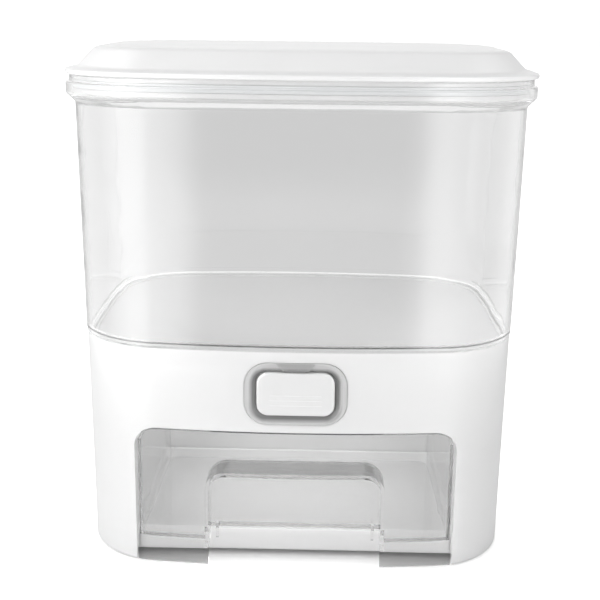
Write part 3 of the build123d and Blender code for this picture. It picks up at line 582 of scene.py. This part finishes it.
def spring_tree():
    """Compression spring along Y with closed end turns, from Start to Start + Length."""
    group, ends, out = new_group(
        "return spring", "GeometryNodeTree",
        [("Geometry", "NodeSocketGeometry", None), ("Start", "NodeSocketVector", (0, 0, 0)),
         ("Length", "NodeSocketFloat", 0.03), ("Radius", "NodeSocketFloat", 0.00375),
         ("Wire Radius", "NodeSocketFloat", 0.0005), ("Turns", "NodeSocketInt", 9),
         ("Material", "NodeSocketMaterial", None)],
        [("Geometry", "NodeSocketGeometry")])
    t = Tree(group)
    per_turn = 28.0       # points
    end_room = 6.0        # wire radii that the closed end turns take up
    wire = ends.outputs["Wire Radius"]
    turns = ends.outputs["Turns"]
    line = t.add("GeometryNodeMeshLine", {"Count": t.math("MULTIPLY", turns, per_turn)})
    index = t.add("GeometryNodeInputIndex").outputs[0]
    turned = t.math("DIVIDE", index, per_turn)
    angle = t.math("MULTIPLY", turned, 2 * pi)
    x = t.math("MULTIPLY", t.math("COSINE", angle), ends.outputs["Radius"])
    z = t.math("MULTIPLY", t.math("SINE", angle), ends.outputs["Radius"])
    diameter = t.math("MULTIPLY", wire, 2.0)
    last = t.math("SUBTRACT", turns, 1.0)
    first_turn = t.math("MULTIPLY", t.spread(turned, 0.0, 1.0, 0.0, 1.0), diameter)
    last_turn = t.math("MULTIPLY", t.spread(turned, last, turns, 0.0, 1.0), diameter)
    rise = t.math("SUBTRACT", ends.outputs["Length"], t.math("MULTIPLY", wire, end_room))
    open_part = t.math("MULTIPLY", t.spread(turned, 1.0, last, 0.0, 1.0), rise)
    y = t.math("ADD", t.math("ADD", first_turn, last_turn), t.math("ADD", open_part, wire))
    point = t.add("ShaderNodeCombineXYZ", {"X": x, "Y": y, "Z": z})
    moved = t.add("ShaderNodeVectorMath", operation="ADD")
    t.put(moved.inputs[0], point.outputs[0])
    t.put(moved.inputs[1], ends.outputs["Start"])
    placed = t.add("GeometryNodeSetPosition", {"Geometry": line.outputs[0],
                                               "Position": moved.outputs[0]})
    curve = t.add("GeometryNodeMeshToCurve", {"Mesh": placed.outputs[0]})
    ring = t.add("GeometryNodeCurvePrimitiveCircle", {"Resolution": 10, "Radius": wire})
    body = t.add("GeometryNodeCurveToMesh", {"Curve": curve.outputs[0],
                                             "Profile Curve": ring.outputs[0], "Fill Caps": True})
    smooth = t.add("GeometryNodeSetShadeSmooth", {"Geometry": body.outputs[0]})
    real = t.add("GeometryNodeRealizeInstances", {"Geometry": smooth.outputs[0]})
    dressed = t.add("GeometryNodeSetMaterial", {"Geometry": real.outputs[0],
                                                "Material": ends.outputs["Material"]})
    t.put(out.inputs["Geometry"], dressed.outputs[0])
    return group


SCREW = {   # shares of the head's and the shank's own sizes
    "recess reach": 1.15, "recess depth": 1.1, "core radius": 0.8, "core length": 0.82,
    "point radius": 0.15, "thread length": 0.9, "thread start": 0.08, "thread radius": 0.84,
    "crest": 0.16,
}


def screw_tree():
    """Pan-head screws with a cross recess and a thread, pointing up from each point."""
    group, ends, out = new_group(
        "screws", "GeometryNodeTree",
        [("Points", "NodeSocketGeometry", None), ("Head Radius", "NodeSocketFloat", 0.003),
         ("Head Height", "NodeSocketFloat", 0.0018), ("Shank Radius", "NodeSocketFloat", 0.0015),
         ("Shank Length", "NodeSocketFloat", 0.016), ("Pitch", "NodeSocketFloat", 0.0011),
         ("Recess Width", "NodeSocketFloat", 0.00075), ("Turn Over", "NodeSocketFloat", 0.0),
         ("Material", "NodeSocketMaterial", None)],
        [("Geometry", "NodeSocketGeometry")])
    t = Tree(group)
    head_r, head_h = ends.outputs["Head Radius"], ends.outputs["Head Height"]
    shank_r, length = ends.outputs["Shank Radius"], ends.outputs["Shank Length"]
    block = 0.02          # cuts off the upper half of the head's ball

    def share(size, name):
        """That share of a size."""
        return t.math("MULTIPLY", size, SCREW[name])

    ball = t.add("GeometryNodeMeshUVSphere", {"Segments": 28, "Rings": 14, "Radius": 1.0})
    squash = t.add("ShaderNodeCombineXYZ", {"X": head_r, "Y": head_r, "Z": head_h})
    dome = t.add("GeometryNodeTransform", {"Geometry": ball.outputs[0], "Scale": squash.outputs[0]})
    above = t.add("GeometryNodeMeshCube", {"Size": (block, block, block)})
    above_at = t.add("GeometryNodeTransform", {"Geometry": above.outputs[0],
                                               "Translation": (0.0, 0.0, block / 2)})
    arm, width = share(head_r, "recess reach"), ends.outputs["Recess Width"]
    deep = share(head_h, "recess depth")
    cuts = [above_at.outputs[0]]
    for across, along in ((width, arm), (arm, width)):
        size = t.add("ShaderNodeCombineXYZ", {"X": across, "Y": along, "Z": deep})
        bar = t.add("GeometryNodeMeshCube", {"Size": size.outputs[0]})
        sunk = t.add("ShaderNodeCombineXYZ", {"Z": t.math("MULTIPLY", head_h, -1.0)})
        cuts.append(t.add("GeometryNodeTransform", {"Geometry": bar.outputs[0],
                                                    "Translation": sunk.outputs[0]}).outputs[0])
    head = t.add("GeometryNodeMeshBoolean", {"Mesh 1": dome.outputs[0]}, operation="DIFFERENCE")
    for cut in cuts:
        group.links.new(cut, head.inputs["Mesh 2"])

    core_r, core_l = share(shank_r, "core radius"), share(length, "core length")
    core = t.add("GeometryNodeMeshCylinder", {"Vertices": 16, "Radius": core_r, "Depth": core_l})
    core_up = t.add("ShaderNodeCombineXYZ", {"Z": t.math("MULTIPLY", core_l, 0.5)})
    core_at = t.add("GeometryNodeTransform", {"Geometry": core.outputs[0],
                                              "Translation": core_up.outputs[0]})
    tip_l = t.math("SUBTRACT", length, core_l)
    tip = t.add("GeometryNodeMeshCone", {"Vertices": 16, "Radius Bottom": core_r, "Depth": tip_l,
                                         "Radius Top": share(core_r, "point radius")})
    tip_up = t.add("ShaderNodeCombineXYZ", {"Z": core_l})
    tip_at = t.add("GeometryNodeTransform", {"Geometry": tip.outputs[0],
                                             "Translation": tip_up.outputs[0]})
    thread_r, thread_l = share(shank_r, "thread radius"), share(core_l, "thread length")
    turns = t.math("DIVIDE", thread_l, ends.outputs["Pitch"])
    helix = t.add("GeometryNodeCurveSpiral", {"Resolution": 16, "Rotations": turns,
                                              "Start Radius": thread_r, "End Radius": thread_r,
                                              "Height": thread_l})
    raised = t.add("ShaderNodeCombineXYZ", {"Z": share(core_l, "thread start")})
    helix_at = t.add("GeometryNodeTransform", {"Geometry": helix.outputs[0],
                                               "Translation": raised.outputs[0]})
    crest = t.add("GeometryNodeCurvePrimitiveCircle", {"Resolution": 4,
                                                       "Radius": share(shank_r, "crest")})
    thread = t.add("GeometryNodeCurveToMesh", {"Curve": helix_at.outputs[0], "Fill Caps": True,
                                               "Profile Curve": crest.outputs[0]})
    joined = t.add("GeometryNodeJoinGeometry")
    for part in (head.outputs["Mesh"], core_at.outputs[0], tip_at.outputs[0], thread.outputs[0]):
        group.links.new(part, joined.inputs[0])
    over = t.add("ShaderNodeCombineXYZ", {"X": ends.outputs["Turn Over"]})
    placed = t.add("GeometryNodeInstanceOnPoints", {"Points": ends.outputs["Points"],
                                                    "Instance": joined.outputs[0],
                                                    "Rotation": over.outputs[0]})
    real = t.add("GeometryNodeRealizeInstances", {"Geometry": placed.outputs[0]})
    dressed = t.add("GeometryNodeSetMaterial", {"Geometry": real.outputs[0],
                                                "Material": ends.outputs["Material"]})
    t.put(out.inputs["Geometry"], dressed.outputs[0])
    return group


def make_spring(node, hardware, material, tree):
    """One return spring, in place of the CAD node, on the base's body."""
    low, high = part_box(node)
    centre = (low + high) / 2
    clearance = 0.05 * MM
    values = {
        "Start": (centre.x, low.y + clearance, centre.z), "Length": high.y - low.y - 2 * clearance,
        "Radius": hardware.spring_radius, "Wire Radius": hardware.wire_radius,
        "Turns": hardware.spring_turns, "Material": material,
    }
    piece = run_tree(tree, f"{node}_coil", values, material=material)
    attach(piece, "base")
    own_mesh(piece)
    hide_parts(node)
    return piece


def make_screws(node, head_height, turned_over, hardware, material, tree):
    """The screws of a CAD node, with cross recess and thread, one mesh on the node's body."""
    boxes = separate_parts(node)
    low, high = boxes[0]
    length = high.z - low.z - head_height
    points = bpy.data.meshes.new(f"{node}_points")
    seats = []
    for low, high in boxes:
        seat = high.z - head_height if turned_over else low.z + head_height
        seats.append(((low.x + high.x) / 2, (low.y + high.y) / 2, seat))
    points.from_pydata(seats, [], [])
    values = {
        "Head Radius": (boxes[0][1].x - boxes[0][0].x) / 2, "Head Height": head_height,
        "Shank Radius": hardware.shank_radius, "Shank Length": length,
        "Pitch": hardware.thread_pitch, "Recess Width": hardware.recess_width,
        "Turn Over": pi if turned_over else 0.0, "Material": material,
    }
    piece = run_tree(tree, f"{node}_threaded", values, base=points, material=material)
    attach(piece, frame["nodes"][node]["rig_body"])
    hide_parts(node)
    return piece


# ------------------------------------------------------------------ operators
class DISPENSER_OT_base(Operator):
    """Finish the base housing, the plate under it, the funnel and the gate"""

    bl_idname = "dispenser.base"
    bl_label = "Base"

    def execute(self, context):
        finish = context.scene.dispenser_finish
        white = white_plastic(finish)
        for node in ("base_housing", "bottom_plate", "funnel", "gate_guide"):
            finished_copy(node, white)
        finished_copy("hopper_seal", silicone(finish))
        finished_copy("button_bezel", grey_plastic(finish), sharp=12.0)
        return {"FINISHED"}


class DISPENSER_OT_hopper(Operator):
    """Finish the clear hopper"""

    bl_idname = "dispenser.hopper"
    bl_label = "Hopper"

    def execute(self, context):
        clear = clear_plastic(context.scene.dispenser_finish)
        finished_copy("hopper", clear, sharp=40.0)
        return {"FINISHED"}


class DISPENSER_OT_lid(Operator):
    """Finish the lid, its ring and its gasket"""

    bl_idname = "dispenser.lid"
    bl_label = "Lid"

    def execute(self, context):
        finish = context.scene.dispenser_finish
        white = white_plastic(finish)
        finished_piece(lid_form(), "lid_cover", white, sharp=40.0)
        finished_copy("lid_ring", white)
        finished_copy("lid_gasket", silicone(finish), sharp=40.0)
        return {"FINISHED"}


class DISPENSER_OT_button(Operator):
    """Finish the push button, its frame and the shutter"""

    bl_idname = "dispenser.button"
    bl_label = "Button"

    def execute(self, context):
        white = white_plastic(context.scene.dispenser_finish)
        for node in ("button_cap", "push_frame", "shutter_plate"):
            finished_copy(node, white)
        return {"FINISHED"}


class DISPENSER_OT_drawer(Operator):
    """Finish the clear drawer"""

    bl_idname = "dispenser.drawer"
    bl_label = "Drawer"

    def execute(self, context):
        finished_copy("drawer", clear_plastic(context.scene.dispenser_finish))
        return {"FINISHED"}


class DISPENSER_OT_springs(Operator):
    """Wind the two return springs of the button"""

    bl_idname = "dispenser.springs"
    bl_label = "Springs"

    def execute(self, context):
        scene = context.scene
        steel = zinc_steel(scene.dispenser_finish)
        tree = spring_tree()
        for side in ("left", "right"):
            make_spring(f"return_spring_{side}", scene.dispenser_hardware, steel, tree)
        return {"FINISHED"}


class DISPENSER_OT_screws(Operator):
    """Put cross-recess screws in place of the plain ones"""

    bl_idname = "dispenser.screws"
    bl_label = "Screws"

    def execute(self, context):
        scene = context.scene
        steel = zinc_steel(scene.dispenser_finish)
        tree = screw_tree()
        head = 1.8 * MM
        for node, over in (("plate_screws", False), ("gate_screws", False),
                           ("funnel_screws", False), ("shutter_screws", True)):
            make_screws(node, head, over, scene.dispenser_hardware, steel, tree)
        return {"FINISHED"}


class DISPENSER_OT_feet(Operator):
    """Finish the four rubber feet"""

    bl_idname = "dispenser.feet"
    bl_label = "Feet"

    def execute(self, context):
        rubber = foot_rubber(context.scene.dispenser_finish)
        for number in range(1, 5):
            finished_copy(f"foot_{number}", rubber)
        return {"FINISHED"}


class DISPENSER_OT_stage(Operator):
    """Set up the pale floor, the soft lights and the camera"""

    bl_idname = "dispenser.stage"
    bl_label = "Stage"

    def execute(self, context):
        studio = context.scene.dispenser_studio
        floor = make_floor()
        lights = make_lights(studio)
        make_world(studio)
        camera = make_camera(studio)
        context.scene.view_settings.view_transform = "Standard"
        return {"FINISHED"}


# ------------------------------------------------------------------ studio
def make_floor():
    """Large pale floor that glows faintly, but not under the object, and more to the eye."""
    size = 12.0
    footprint = (("X", 0.0, 0.0835), ("Y", 0.0, 0.0525))     # inner box of the object's plan
    glow_from, glow_full = 0.04, 0.07                        # distances from that box
    lit_tone, seen_tone = 0.45, 0.96                         # for other rays, and to the eye
    lit_glow, seen_glow = 0.38, 0.8
    mesh = bpy.data.meshes.new("floor")
    mesh.from_pydata([(-size, -size, 0), (size, -size, 0), (size, size, 0), (-size, size, 0)],
                     [], [(0, 1, 2, 3)])
    material, t, out = new_material("pale floor")
    seen = t.add("ShaderNodeLightPath").outputs["Is Camera Ray"]
    tone = t.add("ShaderNodeMix", data_type="RGBA")
    t.put(tone.inputs["Factor"], seen)
    t.put(tone.inputs["A"], grey(lit_tone))
    t.put(tone.inputs["B"], grey(seen_tone))
    place = t.add("ShaderNodeTexCoord").outputs["Object"]
    glow = t.spread(t.from_box(place, *footprint), glow_from, glow_full, 0.0, 1.0)
    strength = t.spread(seen, 0.0, 1.0, lit_glow, seen_glow)
    grain = t.add("ShaderNodeTexNoise", {"Vector": place, "Scale": 300.0, "Detail": 3.0})
    surface = t.add("ShaderNodeBsdfPrincipled", {
        "Base Color": tone.outputs["Result"],
        "Roughness": t.spread(grain.outputs["Fac"], 0.3, 0.7, 0.75, 0.85),
        "Emission Color": WHITE, "Emission Strength": t.math("MULTIPLY", glow, strength),
    })
    t.put(out.inputs["Surface"], surface.outputs["BSDF"])
    mesh.materials.append(material)
    return new_object("floor", mesh)


def soft_light(name, power, size, place, aim):
    """Rectangular area light at place, turned to aim, that no reflection shows."""
    light = bpy.data.lights.new(name, "AREA")
    light.shape = "RECTANGLE"
    light.size, light.size_y = size
    light.energy = power
    lamp = new_object(name, light)
    lamp.visible_glossy = lamp.visible_transmission = False
    direction = Vector(aim) - Vector(place)
    lamp.matrix_world = (Matrix.Translation(place)
                         @ direction.to_track_quat("-Z", "Y").to_matrix().to_4x4())
    return lamp


def round_about(azimuth, distance, height):
    """Point at that angle from the front, positive to the right."""
    turn = radians(azimuth)
    return (distance * sin(turn), -distance * cos(turn), height)


SCREEN = (   # degrees from the front, positive to the right, and brightness of the screen there
    (-125, 0.0), (-100, 0.6), (-78, 1.1), (-62, 1.9), (-50, 2.45), (-38, 2.5), (-29, 2.0),
    (-22, 1.15), (-19.5, 0.6), (-17.5, 0.08), (-13, 0.0), (17, 0.0), (19.5, 0.3), (23, 1.5),
    (33, 1.35), (58, 0.95), (89, 0.7), (105, 0.5), (125, 0.0),
)


def make_screen(studio):
    """Glowing screen round the object that only shows in reflections, as upright highlights."""
    radius, low, high, steps = 0.5, 0.004, 1.0, 96
    mesh = bpy.data.meshes.new("screen")
    foot = [round_about(360 * step / steps, radius, low) for step in range(steps)]
    head = [(x, y, high) for x, y, _ in foot]
    faces = [(i, (i + 1) % steps, steps + (i + 1) % steps, steps + i) for i in range(steps)]
    mesh.from_pydata(foot + head, [], faces)
    material, t, out = new_material("screen glow")
    place = t.add("ShaderNodeTexCoord").outputs["Object"]
    part = t.add("ShaderNodeSeparateXYZ", {"Vector": place})
    turn = t.math("ARCTAN2", part.outputs["X"], t.math("MULTIPLY", part.outputs["Y"], -1.0))
    share = t.math("ADD", t.math("DIVIDE", turn, 2 * pi), 0.5)
    peak = max(level for _, level in SCREEN)
    profile = t.add("ShaderNodeValToRGB", {"Fac": share})
    stops = profile.color_ramp.elements
    for number in (0, 1):
        stops[number].position, stops[number].color = float(number), grey(0.0)
    for angle, level in SCREEN:
        stops.new(angle / 360 + 0.5).color = grey(level / peak)
    strength = t.math("MULTIPLY", profile.outputs["Color"], studio.screen_strength * peak)
    glow = t.add("ShaderNodeEmission", {"Strength": strength})
    clear = t.add("ShaderNodeBsdfTransparent")
    both = t.add("ShaderNodeAddShader", {0: glow.outputs[0], 1: clear.outputs[0]})
    t.put(out.inputs["Surface"], both.outputs[0])
    mesh.materials.append(material)
    screen = new_object("screen", mesh)
    screen.visible_camera = screen.visible_diffuse = False
    screen.visible_transmission = screen.visible_shadow = False
    return screen


def make_lights(studio):
    """Front and left soft boxes, a lamp over the drawer, and the screen of the highlights."""
    front, left, aim = round_about(-6, 1.5, 0.6), round_about(-60, 1.5, 0.9), (0.0, 0.0, 0.15)
    bay_top, bay_foot = (0.0, -0.01, 0.092), (0.0, -0.01, 0.0)
    return [
        soft_light("front box", studio.front_power, (1.2, 0.5), front, aim),
        soft_light("drawer lamp", studio.drawer_power, (0.19, 0.15), bay_top, bay_foot),
        soft_light("left box", studio.key_power, (0.8, 0.8), left, aim),
        make_screen(studio),
    ]


SKY = {   # axis, where along it the level changes from one value to the other, and those values
    "front": ("Y", -0.9, 0.3, 0.45, 1.0), "side": ("X", -0.6, 0.9, 1.0, 0.6),
    "back": ("Y", 0.3, 0.95, 0.0, 0.8), "above": ("Z", 0.45, 0.95, 0.0, 0.35),
}


def make_world(studio):
    """White surroundings, darker on the right and in front, brighter behind and above."""
    world = bpy.data.worlds.new("studio")
    bpy.context.scene.world = world
    world.use_nodes = True
    world.node_tree.nodes.clear()
    t = Tree(world.node_tree)
    direction = t.add("ShaderNodeTexCoord").outputs["Generated"]
    part = t.add("ShaderNodeSeparateXYZ", {"Vector": direction})
    sky = {name: t.spread(part.outputs[axis], *change) for name, (axis, *change) in SKY.items()}
    level = t.math("MULTIPLY", sky["front"], sky["side"])
    level = t.math("ADD", t.math("ADD", level, sky["back"]), sky["above"])
    level = t.math("MULTIPLY", level, studio.sky_strength)
    seen = t.add("ShaderNodeLightPath").outputs["Is Camera Ray"]
    light = t.add("ShaderNodeBackground", {"Color": WHITE,
                                           "Strength": t.math("MAXIMUM", level, seen)})
    out = t.add("ShaderNodeOutputWorld")
    t.put(out.inputs["Surface"], light.outputs[0])


def make_camera(studio):
    """Camera in front of the object, slightly to the right, that looks down on it."""
    camera = bpy.data.cameras.new("camera")
    camera.lens = studio.lens
    camera.sensor_width = 36.0
    camera.dof.use_dof = False
    eye = new_object("camera", camera)
    turn = Matrix.Rotation(studio.camera_turn, 4, "Z")
    place = Matrix.Translation((0.0, -studio.camera_distance, studio.camera_height))
    look = Matrix.Rotation(pi / 2 - studio.camera_pitch, 4, "X")
    roll = Matrix.Rotation(studio.camera_roll, 4, "Z")
    eye.matrix_world = turn @ place @ look @ roll
    bpy.context.scene.camera = eye
    return eye


# ------------------------------------------------------------------ panel and registration
PIECES = (
    DISPENSER_OT_base, DISPENSER_OT_hopper, DISPENSER_OT_lid, DISPENSER_OT_button,
    DISPENSER_OT_drawer, DISPENSER_OT_springs, DISPENSER_OT_screws, DISPENSER_OT_feet,
    DISPENSER_OT_stage,
)


class DISPENSER_PT_panel(Panel):
    """Lists the settings and the pieces"""

    bl_label = "Rice dispenser"
    bl_space_type = "VIEW_3D"
    bl_region_type = "UI"
    bl_category = "Dispenser"

    def draw(self, context):
        """Every setting, then a button for every piece."""
        for group in SETTINGS:
            box = self.layout.box()
            settings = getattr(context.scene, group)
            for name in settings.__annotations__:
                box.prop(settings, name)
        column = self.layout.column(align=True)
        for piece in PIECES:
            column.operator(piece.bl_idname)


SETTINGS = {"dispenser_finish": FinishSettings, "dispenser_hardware": HardwareSettings,
            "dispenser_studio": StudioSettings}
CLASSES = (*SETTINGS.values(), *PIECES, DISPENSER_PT_panel)


def register():
    """Register the classes and put the settings on the scene."""
    for cls in CLASSES:
        bpy.utils.register_class(cls)
    for name, cls in SETTINGS.items():
        setattr(bpy.types.Scene, name, PointerProperty(type=cls))


def unregister():
    """Undo what register did."""
    for name in SETTINGS:
        delattr(bpy.types.Scene, name)
    for cls in reversed(CLASSES):
        bpy.utils.unregister_class(cls)


def main():
    """Register the settings, then build every piece in order."""
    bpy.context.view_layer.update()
    register()
    for piece in PIECES:
        area, name = piece.bl_idname.split(".")
        getattr(getattr(bpy.ops, area), name)()


if __name__ == "__main__":
    main()
